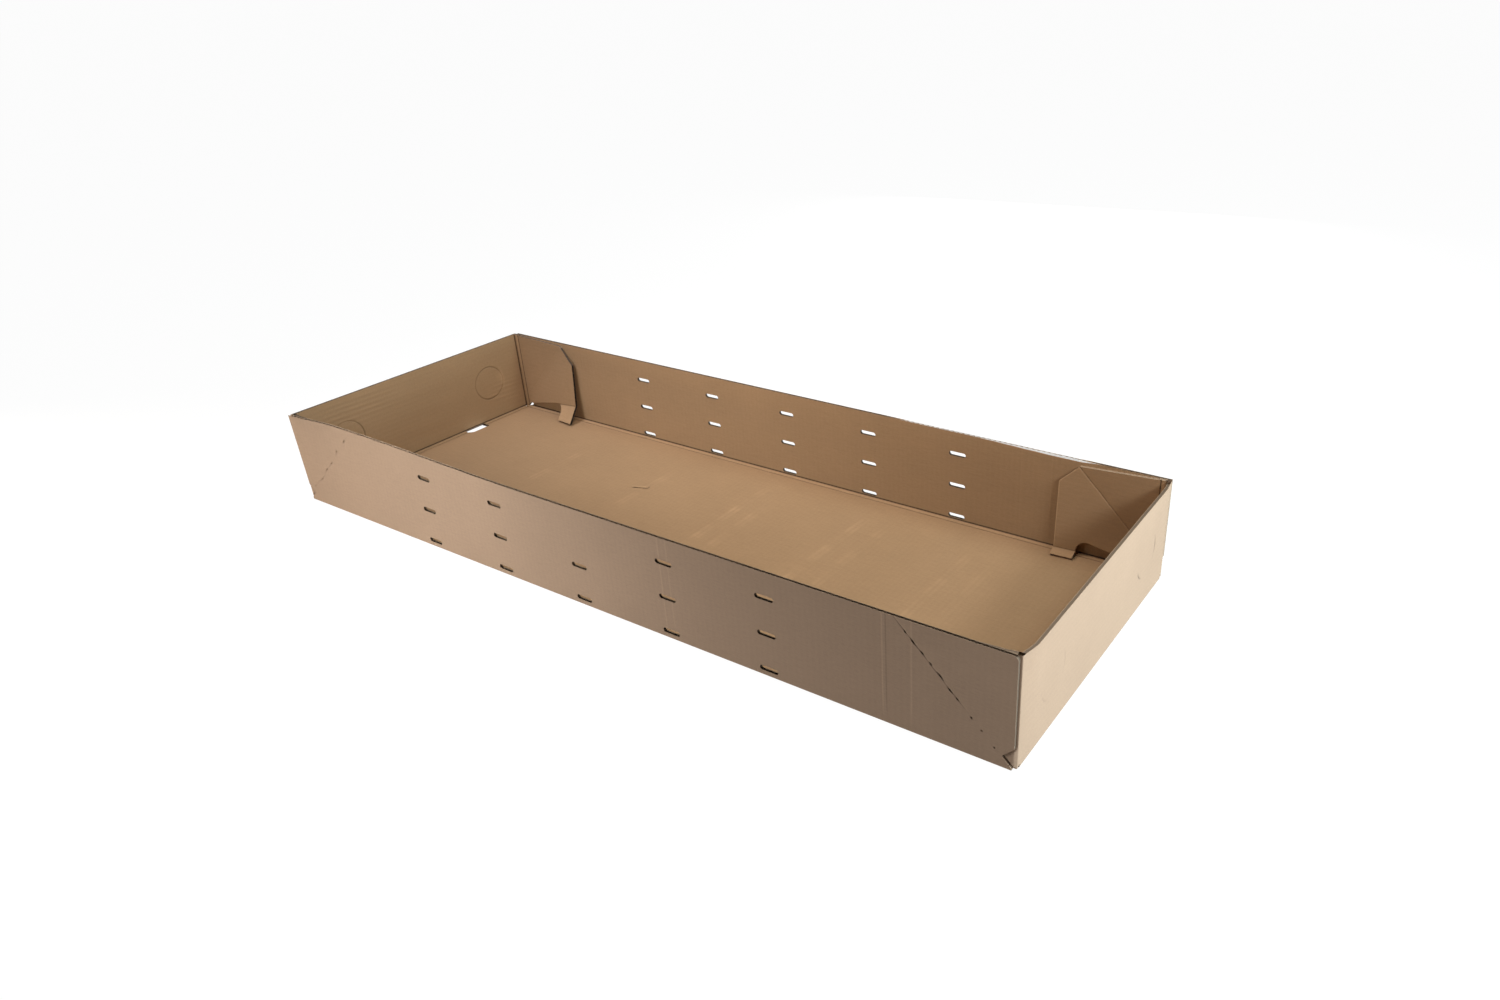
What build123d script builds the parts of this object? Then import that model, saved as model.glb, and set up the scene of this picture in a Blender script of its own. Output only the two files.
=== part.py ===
"""A long shallow tray folded and glued from one sheet of single-wall corrugated board."""

import os
from math import cos, radians, sin, sqrt

from build123d import *

# Tray: outside sizes and the sheet it is folded from
tray_length = 1100.0
tray_width = 400.0
tray_height = 128.0
board = 3.7
fold_inside = 0.8

# Long walls: the relief notch at each bottom corner, and the top corner that was crushed round
notch_depth = 10.3
notch_height = 13.2
crushed_corner = 5.0

# Strap slots in the long walls
slot_length = 24.0
slot_width = 6.0
slot_columns = 5
slot_rows = 3
column_pitch = 135.0
row_pitch = 44.4
lowest_row = 9.0
near_slots_shift = -2.0
far_slots_shift = 6.0

# Slot that straddles the floor crease of each end, off the middle
crease_slot_length = 37.0
crease_slot_reach = 21.0
crease_slot_rise = 5.0
crease_slot_offset = 82.5
crease_slot_round = 10.0

# Knock-out discs in the ends, and the scores that outline them and mark the diagonals
disc_diameter = 53.0
disc_spacing = 254.0
disc_height = 65.0
score_width = 1.0
score_depth = 0.6

# Corner flaps, each hinged on an end and glued inside a long wall above its diagonal crease
flap_step = 14.0
flap_step_drop = 0.8
flap_tip_drop = 6.5
diagonal_rise = 13.0
clip_length = 24.0
clip_height = 23.0
ear_lift = 1.0
ear_sole = 2.5
ear_height = 9.0
lower_edge_rise = 18.6
free_angle = 5.5
free_lap = 0.5

# Tongue at the foot of each flap, bent in to the floor
tongue_width = 28.0
tongue_length = 29.8
tongue_round = 13.0
foot_clearance = 0.2
propped_turn = 41.0
propped_rise = 5.8
propped_drop = 0.2

# Length by which every cut runs past the board
overrun = 5.0

# Sizes that follow from those above
half_length = tray_length / 2
half_width = tray_width / 2
fold_outside = board + fold_inside
wall_length = tray_length - 2 * fold_outside
end_flat = tray_width - 2 * board - 2 * fold_outside

# Flap outline, as distance from the end's outer face and height above the ground
ear_foot = fold_outside + ear_sole
ear_width = ear_foot + ear_height - ear_lift
flap_tip_height = tray_height - flap_tip_drop
clip_start = flap_tip_height - diagonal_rise
flap_length = clip_start + clip_length
tongue_side = flap_length - tongue_width
tongue_root = ear_height + lower_edge_rise
lower_edge_slope = lower_edge_rise / (tongue_side - ear_width)
free_start = ear_width - free_lap

# A foot that lies flat is creased just above the floor. Bending the free panel in lifts the foot a little
free_depth = (flap_length + diagonal_rise - 2 * board) / sqrt(2)
bend_lift = (free_depth * (1 - cos(radians(free_angle))) + board * sin(radians(free_angle))) / sqrt(2)
flat_crease = 2 * board + foot_clearance - bend_lift
flat_turn = 90 - free_angle / sqrt(2)

# A propped foot is creased from the end of the flap's lower edge, and the crease rises to the free edge
propped_start = tongue_side - tongue_round - overrun
propped_low = ear_height + lower_edge_slope * (propped_start - ear_width) - propped_drop
propped_slope = propped_rise / (flap_length - propped_start)
propped_high = propped_low + propped_rise + propped_slope * overrun

# Near wall's inner face at the left corner: across is distance from the end, up is height
flap_plane = Plane(origin=(-half_length, -half_width + board, 0), x_dir=(1, 0, 0), z_dir=(0, -1, 0))
flap_inner_plane = flap_plane.offset(-board)
diagonal = Axis(flap_plane.from_local_coords((0, diagonal_rise, 0)), (1, 0, 1))


def folded_channel(plane, width, run):
    """Floor with two upright sides, folded from flat board, drawn across a plane and run both ways."""
    with BuildPart() as channel:
        with BuildSketch(plane) as section:
            Rectangle(width, tray_height, align=(Align.CENTER, Align.MIN))
            fillet(section.vertices().group_by(Axis.Y)[0], fold_outside)
            with Locations((0, board)):
                Rectangle(width - 2 * board, tray_height, align=(Align.CENTER, Align.MIN), mode=Mode.SUBTRACT)
            fillet(section.vertices().group_by(Axis.Y)[1], fold_inside)
        extrude(amount=run / 2, both=True)
    return channel.part


def slot_places(shift, unpunched):
    """Centres of a wall's strap slots, less those of the (column, row) pairs left unpunched."""
    places = []
    for column in range(slot_columns):
        for row in range(slot_rows):
            if (column, row) not in unpunched:
                across = shift + column_pitch * (column - (slot_columns - 1) / 2)
                places.append((across, lowest_row + row_pitch * row))
    return places


def glued_corner():
    """Hinge fold of a flap, its ear by the floor and the triangle glued above the diagonal."""
    with BuildPart() as corner:
        with BuildSketch(Plane.XY.offset(ear_lift)):
            with Locations((-half_length + fold_outside, -half_width + board + fold_outside)):
                Circle(fold_outside)
                Circle(fold_inside, mode=Mode.SUBTRACT)
                Rectangle(fold_outside, fold_outside, align=(Align.MAX, Align.MAX), mode=Mode.INTERSECT)
        extrude(amount=tray_height - ear_lift)
        with BuildSketch(flap_plane):
            with BuildLine():
                Polyline(
                    (fold_outside, ear_lift),
                    (ear_foot, ear_lift),
                    (ear_width, ear_height),
                    (ear_width, ear_width + diagonal_rise),
                    (clip_start, flap_tip_height),
                    (flap_step, tray_height - flap_step_drop),
                    (flap_step, tray_height),
                    (fold_outside, tray_height),
                    close=True,
                )
            make_face()
        extrude(amount=-board)
    return corner.part


def free_panel(crease_start, crease_end, above):
    """Flap below its diagonal, flat: the panel above the tongue's crease, or the tongue below it.

    The crease is given as two (across, up) points of the flap plane.
    """
    with BuildPart() as panel:
        with BuildSketch(flap_plane) as outline:
            with BuildLine():
                Polyline(
                    (free_start, ear_height),
                    (ear_width, ear_height),
                    (tongue_side, tongue_root),
                    (tongue_side, tongue_root - tongue_length),
                    (flap_length, tongue_root - tongue_length),
                    (flap_length, flap_tip_height - clip_height),
                    (clip_start, flap_tip_height),
                    (free_start, free_start + diagonal_rise),
                    close=True,
                )
            make_face()
            inner_corner = outline.vertices().sort_by_distance((tongue_side, tongue_root))[0]
            fillet(inner_corner, tongue_round)
            with BuildLine():
                Polyline(
                    crease_start,
                    crease_end,
                    (crease_end[0], crease_end[1] - tray_height),
                    (crease_start[0], crease_start[1] - tray_height),
                    close=True,
                )
            make_face(mode=Mode.SUBTRACT if above else Mode.INTERSECT)
        extrude(amount=-board)
    return panel.part


def corner_flap(crease_start, crease_end, turn):
    """Flap of the near left corner: glued triangle, free panel and tongue bent in by turn degrees."""
    start = flap_inner_plane.from_local_coords((*crease_start, 0))
    end = flap_inner_plane.from_local_coords((*crease_end, 0))
    crease = Axis(start, end - start)
    across_crease = Axis(start, (end - start).rotate(Axis.Y, -90))
    panel = free_panel(crease_start, crease_end, above=True)
    tongue = free_panel(crease_start, crease_end, above=False)
    with BuildPart() as free:
        add(panel)
        add(tongue.rotate(crease, turn))
        revolve(tongue.faces().sort_by(across_crease)[-1], axis=crease, revolution_arc=turn)
    with BuildPart() as flap:
        add(glued_corner())
        add(free.part.rotate(diagonal, free_angle))
    return flap.part


# The far left tongue props on the floor; the other three lie flat on it
flat_flap = corner_flap((tongue_side - overrun, flat_crease), (flap_length + overrun, flat_crease), flat_turn)
propped_flap = corner_flap((propped_start, propped_low), (flap_length + overrun, propped_high), propped_turn)
far_left_flap = mirror(propped_flap, about=Plane.XZ)
near_right_flap = mirror(flat_flap, about=Plane.YZ)
far_right_flap = mirror(near_right_flap, about=Plane.XZ)

with BuildPart() as tray:
    # Long walls, with the crushed corner, the relief notches and the diagonal scores
    add(folded_channel(Plane.YZ, tray_width, wall_length))
    top_corners = tray.edges().filter_by(Axis.Y).group_by(Axis.Z)[-1]
    fillet(top_corners.group_by(Axis.Y)[0].sort_by(Axis.X)[-1], crushed_corner)
    apex = half_length - fold_outside - notch_depth
    wall_end = half_length - fold_outside
    score_length = (tray_height - notch_height) * sqrt(2) + overrun
    for outer_face, inward in ((half_width, -1), (-half_width, 1)):
        with BuildSketch(Plane.XZ.offset(outer_face)):
            for side in (-1, 1):
                with BuildLine():
                    Polyline(
                        (side * (wall_end + overrun), notch_height + notch_depth + overrun),
                        (side * apex, notch_height),
                        (side * (wall_end + overrun), notch_height - notch_depth - overrun),
                        close=True,
                    )
                make_face()
        extrude(amount=inward * board, mode=Mode.SUBTRACT)
        with BuildSketch(Plane.XZ.offset(outer_face)):
            for side in (-1, 1):
                with Locations((side * apex, notch_height)):
                    Rectangle(
                        score_length, score_width, rotation=90 + 45 * side, align=(Align.MIN, Align.CENTER)
                    )
        extrude(amount=inward * score_depth, mode=Mode.SUBTRACT)

    # Strap slots; the top one of the near wall's middle column was never punched
    middle_top = (slot_columns // 2, slot_rows - 1)
    for outer_face, inward, shift, unpunched in (
        (half_width, -1, near_slots_shift, [middle_top]),
        (-half_width, 1, far_slots_shift, []),
    ):
        with BuildSketch(Plane.XZ.offset(outer_face)):
            with Locations(*slot_places(shift, unpunched)):
                SlotOverall(slot_length, slot_width)
        extrude(amount=inward * board, mode=Mode.SUBTRACT)

    # Ends, with the slot at each floor crease and the scored discs on both faces
    add(folded_channel(Plane.XZ, tray_length, end_flat))
    with BuildSketch(Plane.XY) as crease_slots:
        for side in (-1, 1):
            with Locations((side * half_length, -side * crease_slot_offset)):
                Rectangle(2 * crease_slot_reach, crease_slot_length)
        inner_corners = crease_slots.vertices().group_by(Axis.X)
        fillet(inner_corners[1].sort_by(Axis.Y)[0], crease_slot_round)
        fillet(crease_slots.vertices().group_by(Axis.X)[-2].sort_by(Axis.Y)[-1], crease_slot_round)
    extrude(amount=crease_slot_rise, mode=Mode.SUBTRACT)
    for face, inward in (
        (half_length, -1),
        (half_length - board, 1),
        (-half_length, 1),
        (-half_length + board, -1),
    ):
        with BuildSketch(Plane.YZ.offset(face)):
            with Locations((-disc_spacing / 2, disc_height), (disc_spacing / 2, disc_height)):
                Circle(disc_diameter / 2)
                Circle(disc_diameter / 2 - score_width, mode=Mode.SUBTRACT)
        extrude(amount=inward * score_depth, mode=Mode.SUBTRACT)

    # Corner flaps: glued face to face with the long walls, so they are one solid with them
    for flap in (flat_flap, near_right_flap, far_right_flap, far_left_flap):
        add(flap)

os.makedirs("parts", exist_ok=True)
tray.part.label = "folded_tray"
export_step(tray.part, "parts/folded_tray.step")
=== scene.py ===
"""Dresses a long corrugated board tray: two kraft liners, fluted raw edges, creases, scores, wear, and painted shade
and highlights.
"""

import logging
import math
from collections.abc import Iterable
from dataclasses import dataclass, field
from enum import Enum

import bmesh
import bpy
import numpy as np
from mathutils import Matrix, Vector


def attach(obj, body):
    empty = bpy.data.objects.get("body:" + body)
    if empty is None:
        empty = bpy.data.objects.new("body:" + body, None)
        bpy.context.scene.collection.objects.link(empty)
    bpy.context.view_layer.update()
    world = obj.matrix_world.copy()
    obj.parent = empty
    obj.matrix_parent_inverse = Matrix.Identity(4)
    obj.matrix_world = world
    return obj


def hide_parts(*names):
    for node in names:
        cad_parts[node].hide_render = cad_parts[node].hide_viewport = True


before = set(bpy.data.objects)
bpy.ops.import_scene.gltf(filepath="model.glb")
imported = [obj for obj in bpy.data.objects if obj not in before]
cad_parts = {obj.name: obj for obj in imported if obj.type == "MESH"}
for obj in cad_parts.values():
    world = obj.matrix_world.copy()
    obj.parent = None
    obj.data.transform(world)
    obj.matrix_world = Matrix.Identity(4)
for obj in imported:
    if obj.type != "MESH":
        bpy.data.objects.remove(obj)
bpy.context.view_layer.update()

log = logging.getLogger("tray")
MM = 0.001

# A flat point, a row of vertices as a point and its normal, and a stroke from its start to its end
Point = tuple[float, float]
Row = tuple[Point, Point]
Stroke = tuple[float, float, float, float]

# Types of the tools
Array = np.ndarray
Mesh = bmesh.types.BMesh
Socket = bpy.types.NodeSocket
Tree = bpy.types.NodeTree


class Side(Enum):
    """The two faces of the board."""

    OUTER = 0
    INNER = 1


class Foot(Enum):
    """How the tongue of a corner flap meets the floor."""

    FLAT = "lies flat"
    PROPPED = "props on its tip"


@dataclass(frozen=True)
class Board:
    """Corrugated board, the way it folds and the cuts that two panels share, in millimetres."""

    length: float = 1100.0
    width: float = 400.0
    height: float = 128.0
    thick: float = 3.7
    liner: float = 0.42
    fluting: float = 0.34
    flute_pitch: float = 7.3
    fold_inside: float = 0.8
    fold_run: float = 4.2
    notch_depth: float = 10.3
    notch_height: float = 13.2
    crease_slot: Point = (64.0, 101.0)

    @property
    def fold_outside(self) -> float:
        """Radius of a fold's outer face."""
        return self.thick + self.fold_inside

    @property
    def wall_end(self) -> float:
        """Half length of the long walls, which stop where the end folds begin."""
        return self.length / 2 - self.fold_outside

    @property
    def crease(self) -> float:
        """Distance of the long creases from the middle."""
        return self.width / 2 - self.fold_outside

    @property
    def hinge(self) -> float:
        """Distance of the flap hinges from the middle."""
        return self.width / 2 - self.thick - self.fold_outside

    def rise(self, height: float) -> float:
        """Distance past the start of a fold at which the folded panel reaches a height."""
        return self.fold_run + height - self.fold_outside


BOARD = Board()


@dataclass(frozen=True)
class Crease:
    """A right-angled fold, pinched inside into a strip between two pressed lines, in millimetres.

    The strip lies on the first panel; turned over, it lies on the second one.
    """

    wide: float = 9.0
    narrow: float = 2.4
    sharp: float = 2.2
    turned: bool = False
    # Darkest shade of the first and the second line: painted shade where the fold's inside lies in shade
    first_line: float = 0.5
    second_line: float = 0.1

    @property
    def lead(self) -> float:
        """How far the inner profile starts before the outer fold."""
        return (self.narrow if self.turned else self.wide) - BOARD.fold_inside

    @property
    def run(self) -> float:
        """Run of the whole inner profile along the blank."""
        return BOARD.fold_run + self.wide + self.narrow - 2 * BOARD.fold_inside

    def profile(self) -> tuple[Array, Array, Array, Array]:
        """Profile of the inside, between the flat parts of both panels.

        Returns:
            Shares of the run, distances from the second panel's and the first panel's outer face, and shades: painted
            shade in the two lines and a painted highlight on the strip between.
        """
        share = np.array([0.0, 0.06, 0.12, 0.2, 0.45, 0.7, 0.8, 0.9, 1.0])
        along = np.array([self.wide, 8.4, 7.8, 7.0, 4.6, 1.9, 0.6, 0.1, 0.0]) + BOARD.thick
        up = np.array([0.0, -0.3, -0.7, 0.1, 0.7, 0.8, 0.5, 1.3, self.narrow]) + BOARD.thick
        low, high = self.first_line, self.second_line
        # Painted shade in both lines, and a painted highlight on the strip between them
        shade = np.array([1.0, 0.5 + low / 2, low, 0.9, 1.15, 0.8, high, 0.3, 1.0])
        if self.turned:
            return 1 - share[::-1], up[::-1], along[::-1], shade[::-1]
        return share, along, up, shade

    def tone(self, run: Array, side: Side) -> Array:
        """Painted shade of the two lines along the inside, and a painted highlight on the strip between them.

        Args:
            run: Distance past the start of the fold.
            side: Which face of the board.

        Returns:
            A factor, 1 where nothing is painted.
        """
        if side is Side.OUTER:
            return np.ones(len(run))
        share, _, _, shade = self.profile()
        return np.interp((run + self.lead) / self.run, share, shade)

    def fold(self, run: Array, side: Side) -> tuple[Array, Array]:
        """Carries points across the fold.

        Args:
            run: Distance past the start of the fold, negative on the first panel.
            side: Which face of the board.

        Returns:
            Distances from the outer face of the second panel and of the first one.
        """
        radius = BOARD.fold_outside
        if side is Side.OUTER:
            turn = np.clip(run / BOARD.fold_run, 0, 1) * math.pi / 2
            before, after = np.minimum(run, 0), np.maximum(run - BOARD.fold_run, 0)
            along, up = (np.clip(1 - part(turn), 0, 1) ** self.sharp for part in (np.sin, np.cos))
            return radius * along - before, radius * up + after
        past = run + self.lead
        share, along, up, _ = self.profile()
        before, after = np.minimum(past, 0), np.maximum(past - self.run, 0)
        return np.interp(past / self.run, share, along) - before, np.interp(past / self.run, share, up) + after

    def rows(self, side: Side) -> list[float]:
        """Where the fold needs rows of vertices, with a guard row each side.

        Args:
            side: Which face of the board.

        Returns:
            Distances past the start of the fold.
        """
        if side is Side.OUTER:
            return [-1.0, *np.linspace(0, BOARD.fold_run, 9).tolist(), BOARD.fold_run + 1.0]
        marks = self.profile()[0] * self.run - self.lead
        return [marks[0] - 1.0, *marks.tolist(), marks[-1] + 1.0]


FLOOR_CREASE = Crease()
HINGE_CREASE = Crease(turned=True, first_line=0.14, second_line=0.2)


def ease(share: Array) -> Array:
    """Smooth step from 0 to 1."""
    share = np.clip(share, 0, 1)
    return share * share * (3 - 2 * share)


def ridge(distance: Array, half_width: float) -> Array:
    """Smooth ridge of height 1 that is gone at its half width."""
    return ease(1 - np.abs(distance) / half_width)


@dataclass(frozen=True)
class Span:
    """A stretch with soft ends: where it starts and stops, and the runs over which it rises and falls."""

    start: float
    stop: float
    rise: float
    fall: float

    def show(self, values: Array) -> Array:
        """How plainly the stretch shows at each value, from 0 to 1."""
        return ease((values - self.start) / self.rise) * ease((self.stop - values) / self.fall)


def upright_rows(places: Iterable[float]) -> list[Row]:
    """Rows of vertices at places along the first flat coordinate."""
    return [((float(place), 0.0), (1.0, 0.0)) for place in places]


def level_rows(places: Iterable[float]) -> list[Row]:
    """Rows of vertices at places along the second flat coordinate."""
    return [((0.0, float(place)), (0.0, 1.0)) for place in places]


@dataclass(frozen=True)
class Settling:
    """How the empty tray stands out of true, in millimetres."""

    near_bow: float = 7.0
    near_bow_along: Span = Span(-552.0, -90.0, 90.0, 330.0)
    right_bulge: float = 4.6
    right_bulge_across: Span = Span(-200.0, 200.0, 30.0, 30.0)
    left_askew: float = 5.0
    height_power: float = 1.5

    def move(self, spots: Array) -> Array:
        """Lets the near wall bow in and the right end bow out at their tops, and the left end stand askew.

        Args:
            spots: Places in the tray, in millimetres.

        Returns:
            The same places in the tray as it stands.
        """
        x, y, z = spots.T
        high = np.clip(z / BOARD.height, 0, 1) ** self.height_power
        bow = self.near_bow * high * self.near_bow_along.show(x) * ease((-y - 150) / 40)
        askew = self.left_askew * np.clip(0.5 + y / BOARD.width, 0, 1) * ease((-440 - x) / 100)
        across = self.right_bulge_across.show(y) * (0.8 - y / 1000)
        bulge = self.right_bulge * high * ease((x - 500) / 40) * across
        return np.stack([x + askew + bulge, y + bow, z], axis=1)


SETTLING = Settling()


def rounded(points: list[Point], index: int, radius: float, steps: int = 8) -> list[Point]:
    """Rounds one corner of an outline.

    Args:
        points: The outline.
        index: Which corner.
        radius: Its radius.
        steps: Segments along the arc.

    Returns:
        The outline with an arc in place of that corner.
    """
    corner = Vector(points[index])
    back = (Vector(points[index - 1]) - corner).normalized()
    ahead = (Vector(points[(index + 1) % len(points)]) - corner).normalized()
    half = back.angle(ahead) / 2
    centre = corner + (back + ahead).normalized() * (radius / math.sin(half))
    first = corner + back * (radius / math.tan(half)) - centre
    last = corner + ahead * (radius / math.tan(half)) - centre
    turn = first.angle_signed(last)
    arc = [centre + Matrix.Rotation(-turn * i / steps, 2) @ first for i in range(steps + 1)]
    return points[:index] + [(p.x, p.y) for p in arc] + points[index + 1:]


@dataclass
class Panel:
    """A flat piece of the blank, with its cuts, that folds into place."""

    name: str
    outline: list[Point] = field(default_factory=list)
    slots: list[Point] = field(default_factory=list)
    discs: list[Point] = field(default_factory=list)
    slits: list[Stroke] = field(default_factory=list)
    scratches: list[Stroke] = field(default_factory=list)
    seams: list[tuple[int, float, float, float]] = field(default_factory=list)
    slot_length: float = 24.0
    slot_width: float = 6.0
    disc_radius: float = 26.5
    slit_half: float = 1.0
    score_half: float = 0.7
    score_depth: float = 0.55
    # Painted shade along the disc scores
    score_shade: float = 0.45

    def place(self, flat: Array, side: Side) -> Array:
        """Folds flat points into the tray.

        Args:
            flat: Points of the blank, one to a row.
            side: Which face of the board.

        Returns:
            Places in the tray, in millimetres.
        """
        raise NotImplementedError

    def flute_run(self, flat: Array) -> Array:
        """Distance across the flutes of each flat point."""
        return flat[:, 0]

    def crease_rows(self, side: Side) -> list[Row]:
        """Lines, each a point and a normal, along which the panel needs vertices."""
        return []

    def slot_loop(self, mesh: Mesh, centre: Point) -> list[bmesh.types.BMVert]:
        """Makes the outline of a strap slot.

        Args:
            mesh: Mesh that gets it.
            centre: Its place on the blank.

        Returns:
            Its vertices in order.
        """
        radius = self.slot_width / 2
        steps = 20
        turn = Matrix.Translation((*centre, 0)) @ Matrix.Rotation(math.pi / steps, 4, "Z")
        made = bmesh.ops.create_circle(mesh, cap_ends=False, segments=steps, radius=radius, matrix=turn)["verts"]
        stretch = self.slot_length / 2 - radius
        for sign in (-1, 1):
            half = [v for v in made if sign * (v.co.x - centre[0]) > 0]
            bmesh.ops.translate(mesh, vec=(sign * stretch, 0, 0), verts=half)
        return made

    def sheet(self, side: Side) -> Mesh:
        """Cuts the panel flat, creases it and folds it into place.

        Args:
            side: Which face of the board.

        Returns:
            The folded face of the panel, in metres.
        """
        mesh = bmesh.new()
        corners = [mesh.verts.new((*point, 0)) for point in self.outline]
        edges = [mesh.edges.new((a, b)) for a, b in zip(corners, corners[1:] + corners[:1])]
        for centre in self.slots:
            edges += {e for v in self.slot_loop(mesh, centre) for e in v.link_edges}
        for x0, y0, x1, y1 in self.slits if side is Side.OUTER else self.scratches:
            run = Vector((x1 - x0, y1 - y0, 0))
            side_step = Vector((-run.y, run.x, 0)).normalized() * self.slit_half
            middle = Vector((x0, y0, 0)) + run / 2
            ring = [Vector((x0, y0, 0)), middle - side_step, Vector((x1, y1, 0)), middle + side_step]
            made = [mesh.verts.new(p) for p in ring]
            edges += [mesh.edges.new((a, b)) for a, b in zip(made, made[1:] + made[:1])]
        rings = []
        for centre in self.discs:
            made = bmesh.ops.create_circle(
                mesh, cap_ends=False, segments=72, radius=self.disc_radius + 2 * self.score_half,
                matrix=Matrix.Translation((*centre, 0)),
            )["verts"]
            ring = list({e for v in made for e in v.link_edges})
            rings.append((centre, ring))
            edges += ring
        bmesh.ops.triangle_fill(mesh, use_beauty=True, use_dissolve=False, edges=edges, normal=(0, 0, 1))
        for centre, ring in rings:
            self.score_disc(mesh, centre, ring)
        for point, normal in self.crease_rows(side):
            bmesh.ops.bisect_plane(
                mesh, geom=mesh.verts[:] + mesh.edges[:] + mesh.faces[:], dist=1e-5,
                plane_co=(*point, 0), plane_no=(*normal, 0),
            )
        self.fold_mesh(mesh, side)
        return mesh

    def score_disc(self, mesh: Mesh, centre: Point, ring: list[bmesh.types.BMEdge]) -> None:
        """Steps a disc's ring of edges inwards, so the score around it has vertices, and closes the disc.

        Args:
            mesh: Mesh that holds the ring.
            centre: The disc's middle.
            ring: Edges of its outer guard ring.
        """
        radius = self.disc_radius + 2 * self.score_half
        for _ in range(4):
            made = bmesh.ops.extrude_edge_only(mesh, edges=ring)["geom"]
            verts = [g for g in made if isinstance(g, bmesh.types.BMVert)]
            chosen = set(verts)
            share = (radius - self.score_half) / radius
            space = Matrix.Translation((-centre[0], -centre[1], 0))
            bmesh.ops.scale(mesh, vec=(share, share, 1), space=space, verts=verts)
            radius -= self.score_half
            ring = [e for v in verts for e in v.link_edges if all(w in chosen for w in e.verts)]
            ring = list(set(ring))
        bmesh.ops.contextual_create(mesh, geom=ring)

    def scored(self, flat: Array, side: Side) -> Array:
        """How far the disc scores are pressed in at each flat point.

        Args:
            flat: Points of the blank.
            side: Which face of the board.

        Returns:
            Shares of a score's depth.
        """
        out = np.zeros(len(flat))
        for centre in self.discs:
            radius = np.hypot(flat[:, 0] - centre[0], flat[:, 1] - centre[1])
            out += self.score_show(flat, centre, side) * ridge(radius - self.disc_radius, 1.5 * self.score_half)
        return out

    def relief(self, flat: Array, side: Side) -> Array:
        """How far the face stands out of the board at each flat point, in millimetres."""
        return -self.score_depth * self.scored(flat, side)

    def tone(self, flat: Array, side: Side) -> Array:
        """How light the paper is painted at each flat point: painted shade along the disc scores, and 1 elsewhere."""
        return 1.0 - self.score_shade * self.scored(flat, side)

    def score_show(self, flat: Array, centre: Point, side: Side) -> Array:
        """How plainly a disc's score shows at each flat point, from 0 to 1."""
        return np.ones(len(flat))

    def edge_tone(self, flat: Array) -> Array:
        """How light the outer liner's cut lip is painted at each flat point, painted highlights and shade included.
        """
        return np.ones(len(flat))

    def fold_mesh(self, mesh: Mesh, side: Side) -> None:
        """Moves a flat mesh into the tray, keeps where it lies across the flutes, and turns its faces out.

        Args:
            mesh: The flat panel.
            side: Which face of the board.
        """
        run_layer = mesh.verts.layers.float.new("flute_run")
        tone_layer = mesh.verts.layers.float.new("tone")
        verts = mesh.verts[:]
        flat = np.array([v.co.to_tuple()[:2] for v in verts])
        here = self.place(flat, side)
        there = self.place(flat, Side.INNER if side is Side.OUTER else Side.OUTER)
        out = here - there
        out /= np.linalg.norm(out, axis=1)[:, None] + 1e-9
        here = here + out * self.relief(flat, side)[:, None]
        for vert, spot, run, tone in zip(verts, here, self.flute_run(flat), self.tone(flat, side)):
            vert.co = Vector(spot) * MM
            vert[run_layer] = float(run) * MM
            vert[tone_layer] = float(tone)
        mesh.normal_update()
        mesh.verts.index_update()
        largest = max(mesh.faces, key=lambda f: f.calc_area())
        if largest.normal.dot(Vector(out[largest.verts[0].index])) < 0:
            bmesh.ops.reverse_faces(mesh, faces=mesh.faces[:])

    def cut_lines(self) -> list[tuple[Array, bool]]:
        """Raw cut lines of the panel, with the board on their left.

        Returns:
            Flat polylines, each with whether it is closed.
        """
        lines = []
        for centre in self.slots:
            mesh = bmesh.new()
            loop = [v.co.to_tuple()[:2] for v in self.slot_loop(mesh, centre)]
            mesh.free()
            lines.append((np.array(loop[::-1]), True))
        points = np.array(self.outline)
        if np.sum(points[:, 0] * np.roll(points[:, 1], -1) - np.roll(points[:, 0], -1) * points[:, 1]) < 0:
            points = points[::-1]
        count = len(points)
        raw = [not self.is_seam(points[i], points[(i + 1) % count]) for i in range(count)]
        if all(raw):
            return lines + [(points, True)]
        start = next(i for i in range(count) if raw[i] and not raw[i - 1])
        line: list[Array] = []
        for i in range(start, start + count):
            if raw[i % count]:
                line = line or [points[i % count]]
                line.append(points[(i + 1) % count])
            elif line:
                lines.append((np.array(line), False))
                line = []
        if line:
            lines.append((np.array(line), False))
        return lines

    def is_seam(self, first: Array, last: Array) -> bool:
        """Whether an outline's segment joins another panel instead of being cut.

        Args:
            first: Where it starts.
            last: Where it ends.

        Returns:
            True for a seam.
        """
        for axis, value, low, high in self.seams:
            on_line = abs(first[axis] - value) < 1e-6 and abs(last[axis] - value) < 1e-6
            span = sorted((first[1 - axis], last[1 - axis]))
            if on_line and span[0] > low - 1e-6 and span[1] < high + 1e-6:
                return True
        return False


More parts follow.
